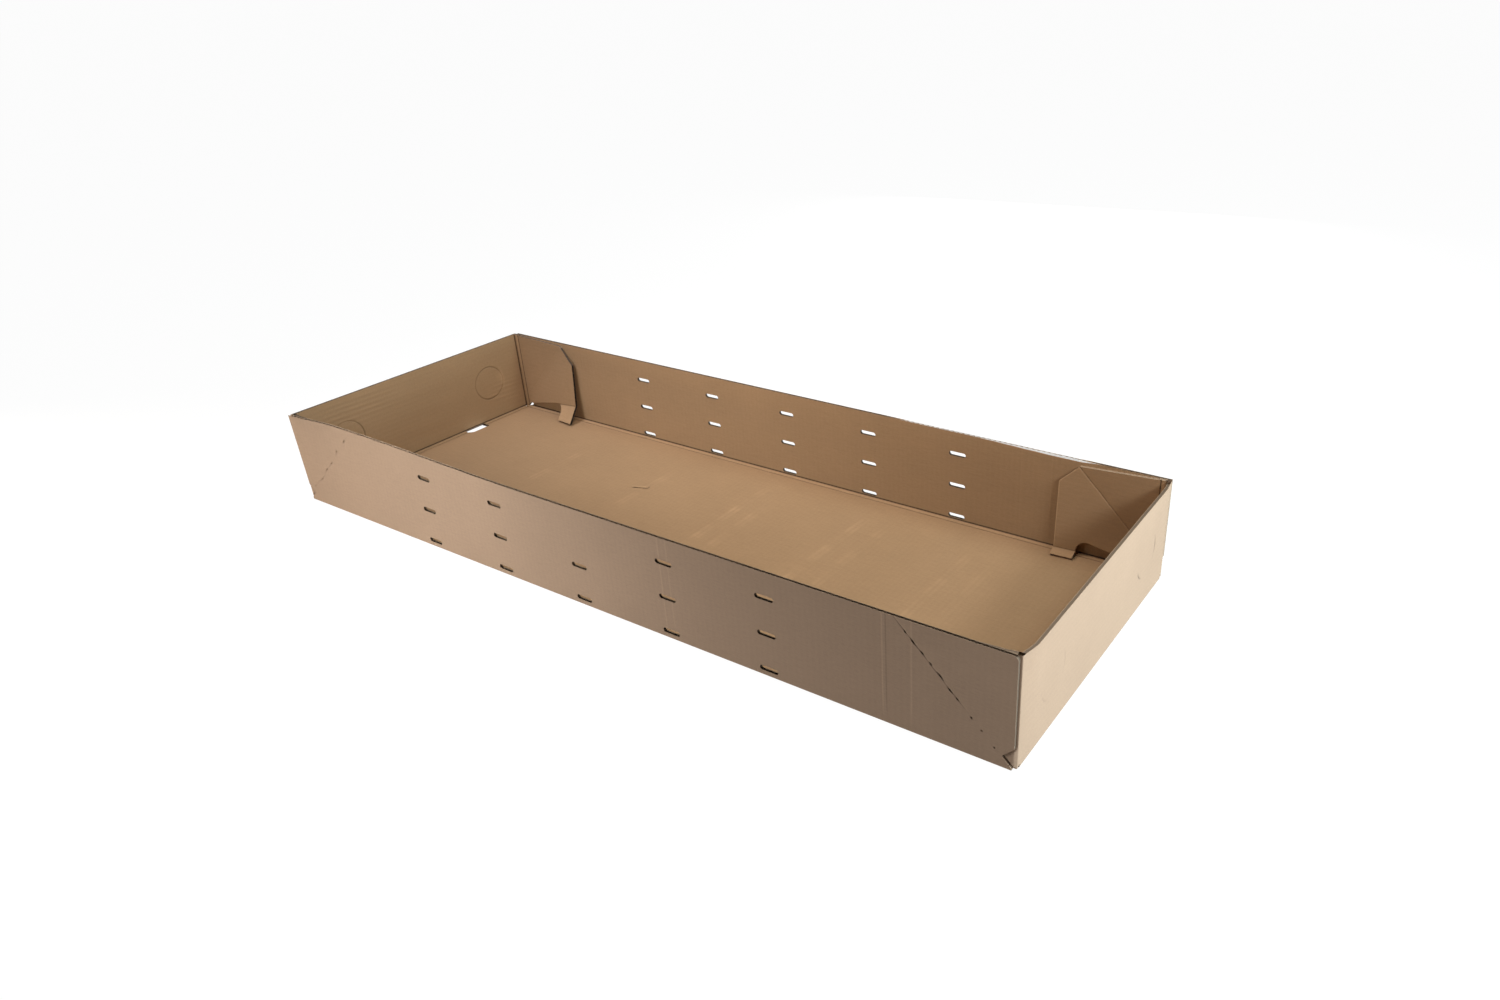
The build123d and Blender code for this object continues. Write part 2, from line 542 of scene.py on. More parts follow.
@dataclass
class Channel(Panel):
    """Floor with both long walls: slots, corner notches, cut diagonals, and ripples pressed in the floor."""

    name: str = "channel"
    crushed_corner: float = 5.0
    torn_notch: float = 13.0
    torn_apex: float = 7.0
    torn_foot: Point = (5.0, 1.0)
    left_flare: float = 4.8
    columns: int = 5
    rows_up: int = 3
    column_pitch: float = 135.0
    row_pitch: float = 44.4
    lowest_row: float = 9.0
    near_shift: float = -2.0
    far_shift: float = 6.0
    crease_slot_reach: float = 14.5
    crease_slot_round: float = 10.0
    right_lap: float = 2.2
    far_lap: float = 4.2
    ripples: tuple[tuple[float, float, float, float], ...] = (
        (-320.0, -40.0, 140.0, 0.6), (-151.0, -30.0, 150.0, 0.6), (2.0, -60.0, 160.0, 0.8),
        (34.0, -70.0, 130.0, 0.6), (168.0, -90.0, 180.0, 0.75), (205.0, -70.0, 150.0, 0.5),
        (331.0, -80.0, 150.0, 0.5), (366.0, -30.0, 130.0, 0.3),
    )
    ripple_steps: tuple[float, ...] = (-5.0, -3.4, -1.6, 0.0, 1.6, 3.2, 4.6, 6.0, 7.3, 8.8, 10.4, 12.2)
    ripple_fade: float = 60.0
    ripple_half: float = 4.8
    # Painted highlight along the crests of each crushed flute and the next one
    ripple_painted_highlight: Point = (0.2, 0.15)
    hook: tuple[Point, ...] = ((-165.7, 51.4), (-154.5, 56.2), (-142.8, 59.9), (-145.2, 65.0))
    # Painted shade along the hook's strokes and a painted highlight beside them
    hook_painted_shade: float = 0.6
    hook_painted_highlight: float = 0.16
    # Painted highlight in a band along the far wall's top, on its inside and on its cut edge
    top_highlight_depth: float = 2.3
    top_highlight_strength: float = 2.0
    top_highlight_along: Span = Span(280.0, 468.0, 140.0, 30.0)
    edge_highlight_along: Span = Span(170.0, 470.0, 40.0, 40.0)
    dot_half: float = 2.2
    left_dots: tuple[Point, ...] = (
        (438.3, 111.2), (460.3, 91.5), (477.8, 70.9), (492.2, 58.4), (509.0, 40.5), (530.0, 24.8),
    )
    wall_lines: tuple[tuple[float, float, float], ...] = (
        (-1, 408.0, 0.3), (-1, 412.0, -0.25), (-1, 440.0, 0.25), (-1, 127.5, 0.22), (-1, 139.0, 0.16),
        (1, 365.0, 0.06), (1, 405.0, 0.08),
    )

    def __post_init__(self) -> None:
        """Lays the outline, slots and slits out on the blank."""
        end = BOARD.wall_end
        slot = self.crease_slot()
        ring = self.corner(1, -1)[::-1] + slot + self.corner(1, 1) + self.corner(-1, 1)[::-1]
        ring += [(-x, -y) for x, y in slot] + self.corner(-1, -1)
        self.outline = rounded(ring, 0, self.crushed_corner, 6)
        self.slots = self.slot_places(-1, self.near_shift, {(self.columns // 2, self.rows_up - 1)})
        self.slots += self.slot_places(1, self.far_shift, set())
        self.seams = [(0, sign * end, -BOARD.hinge, BOARD.hinge) for sign in (-1, 1)]
        self.slits = [s for sx in (-1, 1) for sy in (-1, 1) for s in self.diagonal_slits(sx, sy)]
        self.scratches = [(*first, *last) for first, last in zip(self.hook, self.hook[1:])]
        for i, (x0, y0, x1, y1) in enumerate(self.scratches):
            gap = 0.03 * (i + 1)
            self.scratches[i] = (x0 + gap * (x1 - x0), y0 + gap * (y1 - y0), x1, y1)

    def corner(self, sx: int, sy: int) -> list[Point]:
        """Outline of a wall's end, from the floor past its relief notch to the top.

        Args:
            sx: Which end.
            sy: Which wall.

        Returns:
            Points on the blank.
        """
        end, up = BOARD.wall_end, self.up
        upper, lower = BOARD.notch_height + BOARD.notch_depth, BOARD.notch_height - BOARD.notch_depth
        turn = math.acos(1 - lower / BOARD.fold_outside) / (math.pi / 2)
        foot = (end, BOARD.crease + turn * BOARD.fold_run)
        apex = (end - BOARD.notch_depth, up(BOARD.notch_height))
        top = (end, up(BOARD.height))
        if (sx, sy) == (-1, 1):
            foot = (end - self.torn_foot[0], BOARD.crease - self.torn_foot[1])
            apex = (end - self.torn_notch, up(self.torn_apex))
        if (sx, sy) == (-1, -1):
            top = (end + self.left_flare, up(BOARD.height))
        shoulder = (end, up(upper))
        if sx > 0:
            lap = self.far_lap if sy > 0 else self.right_lap
            shoulder, top = (end + lap, up(upper + lap)), (end + lap, up(BOARD.height))
        points = [(end, BOARD.hinge), foot, apex, shoulder, top]
        return [(sx * x, sy * y) for x, y in points]

    def up(self, height: float) -> float:
        """Place on the blank of a height on a long wall."""
        return BOARD.crease + BOARD.rise(height)

    def crease_slot(self) -> list[Point]:
        """Outline of the slot at the right end's floor crease, from its near side to its far side.

        Returns:
            Points of the cut, from the crease in and back to it.
        """
        end, (first, last) = BOARD.wall_end, BOARD.crease_slot
        deep = end - self.crease_slot_reach
        return rounded([(end, -last), (deep, -last), (deep, -first), (end, -first)], 2, self.crease_slot_round, 6)

    def slot_places(self, sign: int, shift: float, left_out: set[tuple[int, int]]) -> list[Point]:
        """Centres of one long wall's strap slots.

        Args:
            sign: 1 for the far wall and -1 for the near one.
            shift: How far the pattern lies off the middle.
            left_out: Column and row of each slot that wasn't punched.

        Returns:
            Their places on the blank.
        """
        first = shift - self.column_pitch * (self.columns - 1) / 2
        return [
            (first + self.column_pitch * c, sign * self.up(self.lowest_row + self.row_pitch * r))
            for c in range(self.columns) for r in range(self.rows_up) if (c, r) not in left_out
        ]

    def diagonal_slits(self, sx: int, sy: int) -> list[Stroke]:
        """Cuts along the diagonal crease of a wall's corner.

        Args:
            sx: Which end.
            sy: Which wall.

        Returns:
            Start and end of each cut on the blank.
        """
        apex = BOARD.wall_end - BOARD.notch_depth
        top = BOARD.height - BOARD.notch_height
        chance = np.random.default_rng(11 + 2 * sx + sy)
        near_left, near_right = (sx, sy) == (-1, -1), (sx, sy) == (1, -1)
        if near_left:
            half = self.dot_half
            return [(-x - half, -self.up(z - half), -x + half, -self.up(z + half)) for x, z in self.left_dots]
        cuts = []
        start = 6.0
        while start + 12.0 < top:
            long, gap, stray = 8.5, 3.5, 0.0
            if near_right:
                faint = start < 36.0
                long = chance.uniform(1.5, 3.0) if faint else chance.uniform(4.0, 11.0)
                gap, stray = chance.uniform(7.0, 12.0) if faint else chance.uniform(0.8, 3.5), 0.7
            low, high = start, start + long
            off, slip = chance.uniform(-stray, stray, 2) if stray else (0.0, 0.0)
            cuts.append((
                sx * (apex - low + off), sy * self.up(BOARD.notch_height + low + off),
                sx * (apex - high + slip), sy * self.up(BOARD.notch_height + high + slip),
            ))
            start += long + gap
        return cuts

    def place(self, flat: Array, side: Side) -> Array:
        """Folds the long walls up from the floor.

        Args:
            flat: Points of the blank.
            side: Which face of the board.

        Returns:
            Places in the tray, in millimetres.
        """
        sign, end = np.sign(flat[:, 1] + 1e-12), np.sign(flat[:, 0])
        inward, height = FLOOR_CREASE.fold(np.abs(flat[:, 1]) - BOARD.crease, side)
        base = 0.0 if side is Side.OUTER else BOARD.thick
        depth, rise = FLOOR_CREASE.fold(np.abs(flat[:, 0]) - BOARD.wall_end, side)
        by_end = np.abs(flat[:, 1]) < BOARD.hinge + 0.01
        x = np.where(by_end, end * (BOARD.length / 2 - depth), flat[:, 0])
        z = height + by_end * (rise - base)
        return SETTLING.move(np.stack([x, sign * (BOARD.width / 2 - inward), z], axis=1))

    def crease_rows(self, side: Side) -> list[Row]:
        """Rows for both folds and the bow, and on each face for its relief and its painted light and shade.

        Args:
            side: Which face of the board.

        Returns:
            The rows, in the order in which they are cut.
        """
        folds = FLOOR_CREASE.rows(side)
        rows = level_rows(sign * (BOARD.crease + r) for sign in (-1, 1) for r in folds)
        for sign in (-1, 1):
            rows += upright_rows(sign * (BOARD.wall_end + r) for r in folds if r < 0)
            rows += level_rows(sign * (BOARD.hinge + k) for k in (0.0, 0.1))
        # The near wall's bow
        rows += upright_rows(np.arange(-540.0, -80.0, 20.0))
        rows += level_rows(-self.up(z) for z in (30.0, 50.0, 70.0, 90.0, 110.0))
        if side is Side.INNER:
            rows += upright_rows(x + step for x, *_ in self.ripples for step in self.ripple_steps)
            rows += level_rows(np.arange(-160.0, 181.0, 5.0))
            # The hook, then the strip of painted highlight along the far wall's top
            rows += upright_rows(np.arange(-172.0, -136.0, 3.0)) + level_rows(np.arange(46.3, 74.0, 1.5))
            rows += level_rows(self.up(z) for z in np.arange(124.2, 127.8, 0.6))
            rows += upright_rows(np.arange(280.0, 475.0, 12.0))
        rows += upright_rows(x + step for _, x, _ in self.wall_lines for step in (-2.4, -1.2, 0, 1.2, 2.4))
        if side is Side.OUTER:
            for sx in (-1, 1):
                for sy in (-1, 1):
                    slant = (sx * math.sqrt(0.5), sy * math.sqrt(0.5))
                    at = (sx * (BOARD.wall_end - BOARD.notch_depth), sy * self.up(BOARD.notch_height))
                    for k in (-1.8, -0.9, 0.0, 0.9, 1.8):
                        rows.append(((at[0] + slant[0] * k, at[1] + slant[1] * k), slant))
        return rows

    def off_diagonal(self, flat: Array) -> tuple[Array, Array]:
        """Distances from the nearest corner's diagonal crease.

        Args:
            flat: Points of the blank.

        Returns:
            Signed distance from the diagonal, and height above the notch.
        """
        along = np.abs(flat[:, 0]) - (BOARD.wall_end - BOARD.notch_depth)
        high = np.abs(flat[:, 1]) - self.up(BOARD.notch_height)
        return (along + high) / math.sqrt(2), high

    def rippled(self, x: Array, y: Array) -> list[tuple[Array, Array]]:
        """Crushed flutes across the floor, broken along their run.

        Args:
            x: Places along the tray.
            y: Places across it.

        Returns:
            For each crushed flute, its height and the distance from it.
        """
        found = []
        for run, low, high, lift in self.ripples:
            fade = Span(low, high, self.ripple_fade, self.ripple_fade).show(y)
            broken = np.clip(0.55 + 0.5 * np.sin(y * 0.09 + run) + 0.3 * np.sin(y * 0.23 + 2 * run), 0.08, 1.2)
            stray = 1.6 * np.sin(y * 0.021 + run) + 6.0 * ease((y - 110) / 60)
            found.append((lift * fade * broken * (np.abs(y) < BOARD.crease), x - run - stray))
        return found

    def relief(self, flat: Array, side: Side) -> Array:
        """Ripples across the floor and lines pressed in the long walls.

        Args:
            flat: Points of the blank.
            side: Which face of the board.

        Returns:
            Heights out of the face, in millimetres.
        """
        out = super().relief(flat, side)
        x, y = flat[:, 0], flat[:, 1]
        if side is Side.INNER:
            for lift, off in self.rippled(x, y):
                crests = ridge(off, 2.2) + 0.6 * ridge(off - BOARD.flute_pitch, 2.2)
                out += 0.4 * lift * (crests - 0.4 * ridge(off - 2.3, 1.4))
        for sign, run, lift in self.wall_lines:
            on_wall = ease((sign * y - BOARD.crease - 10) / 10)
            out += lift * on_wall * ridge(x - run, 1.3)
        if side is Side.OUTER:
            off, high = self.off_diagonal(flat)
            out -= 0.35 * self.diagonal_show(flat, high) * ridge(off, 1.0)
        return out

    def tone(self, flat: Array, side: Side) -> Array:
        """Painted shade and highlights: in the folds, on the ripples, along the wall lines, the diagonals and the
        hook, and a painted highlight along the far wall's top.

        Args:
            flat: Points of the blank.
            side: Which face of the board.

        Returns:
            How light the paper is painted, its painted shade and highlights included.
        """
        x, y = flat[:, 0], flat[:, 1]
        # Painted shade in the floor folds' two lines and a painted highlight between them
        out = FLOOR_CREASE.tone(np.abs(y) - BOARD.crease, side)
        out *= np.where(np.abs(y) < BOARD.hinge, FLOOR_CREASE.tone(np.abs(x) - BOARD.wall_end, side), 1.0)
        if side is Side.INNER:
            # Painted highlight along the ripples' crests
            for lift, off in self.rippled(x, y):
                for flute, pale in enumerate(self.ripple_painted_highlight):
                    out += lift * pale * ridge(off - flute * BOARD.flute_pitch, self.ripple_half)
            out += self.scratched(x, y) + self.painted_top_highlight(x, y)
        # Painted highlight along raised wall lines and painted shade along sunk ones
        for sign, run, lift in self.wall_lines:
            out += 0.8 * lift * ease((sign * y - BOARD.crease - 10) / 10) * ridge(x - run, 1.4)
        if side is Side.OUTER:
            # Painted shade in the diagonal's groove and a painted highlight beside it
            off, high = self.off_diagonal(flat)
            out += self.diagonal_show(flat, high) * (0.2 * ridge(off - 1.2, 0.9) - 0.5 * ridge(off, 1.0))
        return out

    def scratched(self, x: Array, y: Array) -> Array:
        """Painted shade of the hook on the floor: dark along its two long strokes, with a painted highlight beside
        them.

        Args:
            x: Places along the tray.
            y: Places across it.

        Returns:
            What the scratch adds to the paper's tone.
        """
        out = np.zeros(len(x))
        for (x0, y0), (x1, y1) in zip(self.hook[:2], self.hook[1:3]):
            run = math.hypot(x1 - x0, y1 - y0)
            along = ((x - x0) * (x1 - x0) + (y - y0) * (y1 - y0)) / run
            above = ((y - y0) * (x1 - x0) - (x - x0) * (y1 - y0)) / run
            within = Span(-1.5, run + 1.5, 3.0, 3.0).show(along)
            out += within * (self.hook_painted_highlight * ridge(above - 3.2, 2.4) - self.hook_painted_shade * ridge(above, 1.8))
        return out

    def painted_top_highlight(self, x: Array, y: Array) -> Array:
        """Painted highlight on the strip along the far wall's top.

        Args:
            x: Places along the tray.
            y: Places across the blank.

        Returns:
            What the strip adds to the paper's tone.
        """
        band = self.top_highlight_depth * self.top_highlight_along.show(x)
        return self.top_highlight_strength * (y > 0) * ease((y - self.up(BOARD.height - band)) / 0.6 + 0.5) * (band > 0.2)

    def diagonal_show(self, flat: Array, high: Array) -> Array:
        """How plainly the diagonals show: broken at the near right corner, hardly at the near left one.

        Args:
            flat: Points of the blank.
            high: Their heights above the notch.

        Returns:
            A share from 0 to 1.
        """
        right = ease((high - 20) / 40) * (0.65 + 0.35 * np.sin(high * 0.31))
        near = np.where(flat[:, 0] > 0, right, 0.06)
        return np.where(flat[:, 1] > 0, 0.6, near) * (high > 0)

    def edge_tone(self, flat: Array) -> Array:
        """Painted highlight along the far wall's top, pale along the near wall's top, and dull at the near right cut.

        Args:
            flat: Points of the blank.

        Returns:
            How light the cut is.
        """
        x, y = flat[:, 0], flat[:, 1]
        top = np.abs(y) > self.up(BOARD.height) - 6.0
        # Painted highlight along the far wall's top edge
        edge_highlight = (y > 0) * top * self.edge_highlight_along.show(x)
        pale = (y < 0) * top * ease((-120 - x) / 200)
        corner = (y < 0) * (x > BOARD.wall_end - 1.0) * (np.abs(y) > BOARD.crease + 10)
        return 1.0 + 2.6 * edge_highlight + 0.9 * pale - 0.55 * corner


@dataclass
class EndWall(Panel):
    """One end, folded up from the floor, with its two scored discs."""

    name: str = "end"
    sign: int = 1
    disc_spacing: float = 254.0
    disc_height: float = 65.0
    score_half: float = 1.1
    slot_rise: float = 2.0
    rippled_up: Span = Span(12.0, 120.0, 10.0, 10.0)

    def __post_init__(self) -> None:
        """Lays the end out: the first coordinate is the run up from the fold's start, the second lies across."""
        wide, top = BOARD.hinge, BOARD.rise(BOARD.height)
        (first, last), rise = BOARD.crease_slot, BOARD.rise(self.slot_rise)
        slot = [(0.0, first), (rise, first), (rise, last), (0.0, last)]
        if self.sign > 0:
            slot = [(r, -y) for r, y in slot[::-1]]
        self.outline = [(0.0, -wide), *slot, (0.0, wide), (BOARD.fold_run, wide)]
        self.outline += [(top, wide), (top, -wide), (BOARD.fold_run, -wide)]
        self.seams = [(0, 0.0, -wide, wide)] + [(1, s * wide, BOARD.fold_run, top) for s in (-1, 1)]
        self.discs = [(BOARD.rise(self.disc_height), s * self.disc_spacing / 2) for s in (-1, 1)]

    def flute_run(self, flat: Array) -> Array:
        """Flutes lie level in the ends, so the run up crosses them."""
        return flat[:, 0] + BOARD.wall_end

    def place(self, flat: Array, side: Side) -> Array:
        """Folds the end up from the floor and carries its edges into the flap hinges.

        Args:
            flat: Points of the blank.
            side: Which face of the board.

        Returns:
            Places in the tray, in millimetres.
        """
        base = 0.0 if side is Side.OUTER else BOARD.thick
        depth, height = FLOOR_CREASE.fold(flat[:, 0], side)
        across, hinge_depth = HINGE_CREASE.fold(np.abs(flat[:, 1]) - BOARD.hinge, side)
        reach = BOARD.width / 2 - BOARD.thick - across
        x = self.sign * (BOARD.length / 2 - depth - (hinge_depth - base))
        return SETTLING.move(np.stack([x, np.sign(flat[:, 1]) * reach, height], axis=1))

    def edge_tone(self, flat: Array) -> Array:
        """The ends' top edges are painted dull, as painted shade."""
        return np.full(len(flat), 0.7)

    def crease_rows(self, side: Side) -> list[Row]:
        """Rows for the floor fold, the hinges and the bow, and across the faint ripples of the inside.

        Args:
            side: Which face of the board.

        Returns:
            The rows, in the order in which they are cut.
        """
        rows = upright_rows(FLOOR_CREASE.rows(side))
        rows += level_rows(s * (BOARD.hinge + r) for s in (-1, 1) for r in HINGE_CREASE.rows(side) if r <= 0)
        if side is Side.INNER:
            rows += upright_rows(np.arange(14.0, 122.0, 1.2)) + level_rows(np.arange(-180.0, 181.0, 10.0))
            rows += level_rows(-self.sign * y for y in np.arange(152.0, 175.0, 2.5))
        else:
            rows += level_rows(np.arange(-180.0, 181.0, 15.0)) + upright_rows(np.arange(20.0, 125.0, 15.0))
        return rows

    def flute_wave(self, flat: Array) -> Array:
        """Height of the single flutes across an end, from -1 to 1."""
        return np.sin(flat[:, 0] * 2 * math.pi / BOARD.flute_pitch + 0.02 * flat[:, 1])

    def relief(self, flat: Array, side: Side) -> Array:
        """Disc scores, and on the inside the level ripples of the flutes and the discs' crowns.

        Args:
            flat: Points of the blank.
            side: Which face of the board.

        Returns:
            Heights out of the face, in millimetres.
        """
        out = super().relief(flat, side)
        if side is Side.INNER:
            fade = self.rippled_up.show(flat[:, 0])
            swell = np.sin(flat[:, 0] * math.pi / (2 * BOARD.flute_pitch) + 0.011 * flat[:, 1])
            out += fade * 0.16 * swell * (0.6 + 0.4 * np.sin(flat[:, 1] * 0.031 + 1.3))
            out += fade * 0.2 * self.wrinkled(flat) * self.flute_wave(flat)
            for centre in self.discs:
                radius = np.hypot(flat[:, 0] - centre[0], flat[:, 1] - centre[1])
                out += 0.3 * ease((self.disc_radius - radius) / 1.4)
        return out

    def wrinkled(self, flat: Array) -> Array:
        """How plainly single flutes show: near the top by one disc, and beside the other.

        Args:
            flat: Points of the blank.

        Returns:
            Shares from 0 to 1.
        """
        rise, across = flat[:, 0], flat[:, 1] * -self.sign
        top = ease((rise - 78) / 20) * ease(1.2 - np.abs(across + 105) / 70)
        beside = ease(1.2 - np.abs(across - 150) / 36) * ease(1.2 - np.abs(rise - 45) / 24)
        return np.clip(0.12 + top + beside, 0, 1) * (0.7 + 0.3 * np.sin(0.11 * across + 0.3 * rise))

    def tone(self, flat: Array, side: Side) -> Array:
        """Painted shade and highlights in the floor fold and hinges, painted shade in the disc scores, and inside
        painted highlights and shade on the wrinkles, and a scuff.

        Args:
            flat: Points of the blank.
            side: Which face of the board.

        Returns:
            How light the paper is painted, its painted shade and highlights included.
        """
        out = super().tone(flat, side)
        if side is Side.INNER:
            # Painted highlight on the wrinkles' crests and painted shade in their troughs
            out += 0.1 * self.wrinkled(flat) * np.clip(self.flute_wave(flat), -0.3, 1)
            scuff = ridge(flat[:, 1] + 160 * self.sign + 0.1 * flat[:, 0], 6.0) * ridge(flat[:, 0] - 68, 22.0)
            out += 0.25 * scuff
        # Painted shade and highlights of the floor fold and the hinges
        out *= FLOOR_CREASE.tone(flat[:, 0], side)
        return out * HINGE_CREASE.tone(np.abs(flat[:, 1]) - BOARD.hinge, side)

    def score_show(self, flat: Array, centre: Point, side: Side) -> Array:
        """Scores show all round inside, and only in part outside.

        Args:
            flat: Points of the blank.
            centre: The disc's middle.
            side: Which face of the board.

        Returns:
            How plainly the score shows.
        """
        turn = np.arctan2(flat[:, 1] - centre[1], flat[:, 0] - centre[0])
        if side is Side.INNER:
            return 0.75 + 0.25 * np.sin(2 * turn + centre[1])
        part = ridge(turn - 1.5, 0.8) + ridge(turn + 2.35, 0.5)
        return part * (1.2 if centre[1] > 0 else 0.3)


@dataclass
class CornerFlap(Panel):
    """Flap hinged on an end and glued inside a long wall, with its free panel and its bent tongue."""

    name: str = "flap"
    sx: int = 1
    sy: int = 1
    foot: Foot = Foot.FLAT
    step: float = 14.0
    step_drop: float = 0.8
    tip_drop: float = 6.5
    diagonal_rise: float = 13.0
    clip_length: float = 24.0
    clip_height: float = 23.0
    ear_lift: float = 0.0
    ear_bulge: float = 0.0
    ear: Point = (15.0, 9.0)
    ear_sole: float = 7.0
    ear_clear: float = 1.0
    hinge_clear: float = 1.4
    lower_rise: float = 18.6
    free_angle: float = 5.5
    tongue_width: float = 28.0
    tongue_length: float = 29.8
    tongue_round: float = 13.0
    foot_clearance: float = 0.2
    propped_turn: float = 41.0
    propped_low: float = 23.67
    propped_rise: float = 5.8
    crease_overrun: float = 5.0
    bend_inside: float = 0.8
    tongue_skew: float = 0.0
    crease_lift: float = 0.0
    lifted_turn: float = 68.0
    soft_bend: float = 3.0
    edge_shine: float = 0.0
    glue: float = 0.12

    def __post_init__(self) -> None:
        """Lays the flap out: the first coordinate is the run past the hinge's start, the second its height."""
        tip = BOARD.height - self.tip_drop
        clip = tip - self.diagonal_rise
        self.reach = clip + self.clip_length
        inner = self.reach - self.tongue_width
        root = self.ear[1] + self.lower_rise
        run = BOARD.rise
        sole, foot = self.ear_clear + self.ear_lift, root - self.tongue_length
        ring = [
            (0.0, BOARD.fold_outside), (BOARD.fold_run * 0.5, self.hinge_clear + self.ear_lift / 2),
            (BOARD.fold_run, sole), (run(self.ear_sole), sole), (run(self.ear[0]), self.ear[1] + self.ear_lift),
            (run(inner), root), (run(inner), foot), (run(self.reach), foot),
            (run(self.reach), tip - self.clip_height), (run(clip), tip),
            (run(self.step), BOARD.height - self.step_drop), (run(self.step), BOARD.height), (0.0, BOARD.height),
        ]
        self.outline = rounded(ring, 5, self.tongue_round, 8)
        self.notch = (BOARD.fold_outside + BOARD.notch_depth, BOARD.notch_height)
        self.seams = [(0, 0.0, 0.0, BOARD.height)]
        start = inner - self.tongue_round - self.crease_overrun
        slope = self.propped_rise / (self.reach - start)
        if self.foot is Foot.PROPPED:
            self.crease_point, self.crease_slope = (start, self.propped_low), math.atan(slope)
            self.turn = math.radians(self.propped_turn)
        else:
            angle = math.radians(self.free_angle)
            depth = (self.reach + self.diagonal_rise - 2 * BOARD.thick) / math.sqrt(2)
            lift = (depth * (1 - math.cos(angle)) + BOARD.thick * math.sin(angle)) / math.sqrt(2)
            self.crease_point = (start, 2 * BOARD.thick + self.foot_clearance - lift + self.crease_lift)
            self.crease_slope = 0.0
            self.turn = math.radians(self.lifted_turn if self.crease_lift else 90 - self.free_angle / math.sqrt(2))

    def flute_run(self, flat: Array) -> Array:
        """Flutes lie level in the flaps too."""
        return flat[:, 1] + BOARD.wall_end

    def bend_reach(self) -> float:
        """Half the run of the tongue's bend."""
        return self.bend_inside * math.tan(self.turn / 2)

    def past_crease(self, s: Array, z: Array) -> Array:
        """Distance of points past the tongue's crease.

        Args:
            s: Distances from the end's outer face.
            z: Heights.

        Returns:
            Distances, far below 0 beside the tongue.
        """
        out = (math.sin(self.crease_slope), -math.cos(self.crease_slope))
        past = (s - self.crease_point[0]) * out[0] + (z - self.crease_point[1]) * out[1]
        return np.where(s > self.crease_point[0], past, -1e3)

    def place(self, flat: Array, side: Side) -> Array:
        """Bends the tongue, leans the free panel in along the diagonal and folds the flap at its hinge.

        Args:
            flat: Points of the blank.
            side: Which face of the board.

        Returns:
            Places in the tray, in millimetres.
        """
        depth, s = HINGE_CREASE.fold(flat[:, 0], side)
        z = flat[:, 1].copy()
        flat_s = s.copy()
        past = self.past_crease(s, z)
        half = self.bend_reach()
        turn = np.clip((past + half) / (2 * half), 0, 1) * self.turn
        beyond = np.maximum(past - half, 0)
        arm = self.bend_inside + BOARD.thick - depth
        moved = np.where(past > -half, -half + arm * np.sin(turn) + beyond * np.cos(turn) - past, 0.0)
        lifted = BOARD.thick + self.bend_inside - arm * np.cos(turn) + beyond * np.sin(turn)
        s = s + moved * math.sin(self.crease_slope) + self.tongue_skew * beyond
        z = z - moved * math.cos(self.crease_slope)
        depth = np.where(past > -half, lifted, depth)
        inside = (self.notch[0] - flat_s - np.abs(flat[:, 1] - self.notch[1])) / math.sqrt(2)
        depth = depth - self.ear_bulge * ease(inside / 2.5) * ease(flat_s / 4.0)
        below = (s - z + self.diagonal_rise) / math.sqrt(2)
        along = (s + z - self.diagonal_rise) / math.sqrt(2)
        share = ease(below / self.soft_bend) * ease((flat_s - 8.0) / 18.0)
        angle = math.radians(self.free_angle) * share
        lean = below * np.sin(angle) + depth * np.cos(angle)
        below = below * np.cos(angle) - depth * np.sin(angle)
        s = (along + below) / math.sqrt(2)
        z = self.diagonal_rise + (along - below) / math.sqrt(2)
        x = self.sx * (BOARD.length / 2 - s)
        y = self.sy * (BOARD.width / 2 - BOARD.thick - self.glue * ease(flat[:, 0] / 20) - lean)
        return SETTLING.move(np.stack([x, y, z], axis=1))

    def edge_tone(self, flat: Array) -> Array:
        """Dark where the edge is in shade, and lighter along the top."""
        at_top = flat[:, 1] > BOARD.height - self.tip_drop - 3.0
        return (1.0 if self.edge_shine else 0.3) + np.where(at_top, 0.4, 0.0)

    def crease_rows(self, side: Side) -> list[Row]:
        """Rows for the hinge, the diagonal, the lean beside the ear, the tongue's bend and the bright edges.

        Args:
            side: Which face of the board.

        Returns:
            The rows, in the order in which they are cut.
        """
        rows = upright_rows(HINGE_CREASE.rows(side))
        rows += upright_rows(BOARD.rise(s) for s in (8.0, 11.0, 14.0, 17.0, 20.0, 23.0, 26.0, 27.5))
        slant = (math.sqrt(0.5), -math.sqrt(0.5))
        for below in (-1.0, 0.0, 0.7, 1.5, 2.3, 3.0, 4.0, *np.arange(6.0, self.soft_bend, 3.0)):
            point = (BOARD.rise(0.0) + below * slant[0], self.diagonal_rise + below * slant[1])
            rows.append((point, slant))
        out = (math.sin(self.crease_slope), -math.cos(self.crease_slope))
        half = self.bend_reach()
        for past in [-half - 1.0, *np.linspace(-half, half, 8).tolist(), half + 1.0]:
            point = (BOARD.rise(self.crease_point[0]) + past * out[0], self.crease_point[1] + past * out[1])
            rows.append((point, out))
        rows += upright_rows(BOARD.rise(self.reach) - k for k in (0.7, 1.4, 2.2))
        clip = Vector((self.clip_height, self.clip_length)).normalized()
        corner = (BOARD.rise(self.reach), BOARD.height - self.tip_drop - self.clip_height)
        rows += [((corner[0] - k * clip.x, corner[1] - k * clip.y), clip.to_tuple()) for k in (0.7, 1.4, 2.2)]
        if self.ear_bulge:
            rows += level_rows(np.arange(2.0, 27.0, 1.5))
        return rows

    def below_diagonal(self, flat: Array) -> Array:
        """Distance of flat points below the diagonal crease."""
        return (flat[:, 0] - BOARD.rise(0.0) - flat[:, 1] + self.diagonal_rise) / math.sqrt(2)

